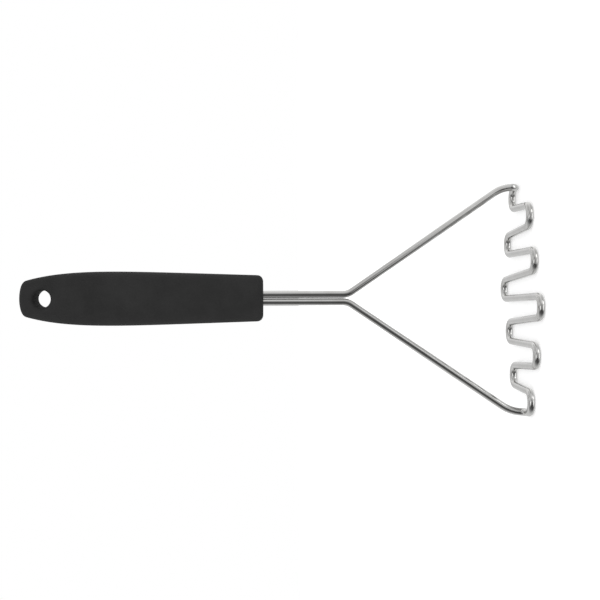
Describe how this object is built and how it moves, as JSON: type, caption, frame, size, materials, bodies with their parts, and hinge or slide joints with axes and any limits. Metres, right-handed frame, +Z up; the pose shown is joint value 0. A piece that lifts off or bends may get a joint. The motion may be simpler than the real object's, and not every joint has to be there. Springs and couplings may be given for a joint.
{
  "type": "potato masher",
  "caption": "Hand potato masher: winding wire mashing head on two spread arms, with a straight soft black grip that has a hang hole.",
  "frame": {"origin": "middle of the underside of the wire mashing head, on the surface that the masher stands on", "axes": "+Z up along the shanks and handle, X across the width of the head in the plane of the two arms, Y through the depth of the head and along the hang hole"},
  "size_m": [0.1194, 0.0684, 0.2575],
  "materials": {
    "steel": "bright polished stainless steel wire",
    "grip": "soft matte black",
    "core": "moulded black plastic, not seen"
  },
  "bodies": {
    "root": {"masher_wire": "steel", "handle_core": "core", "soft_grip": "grip"}
  },
  "joints": []
}
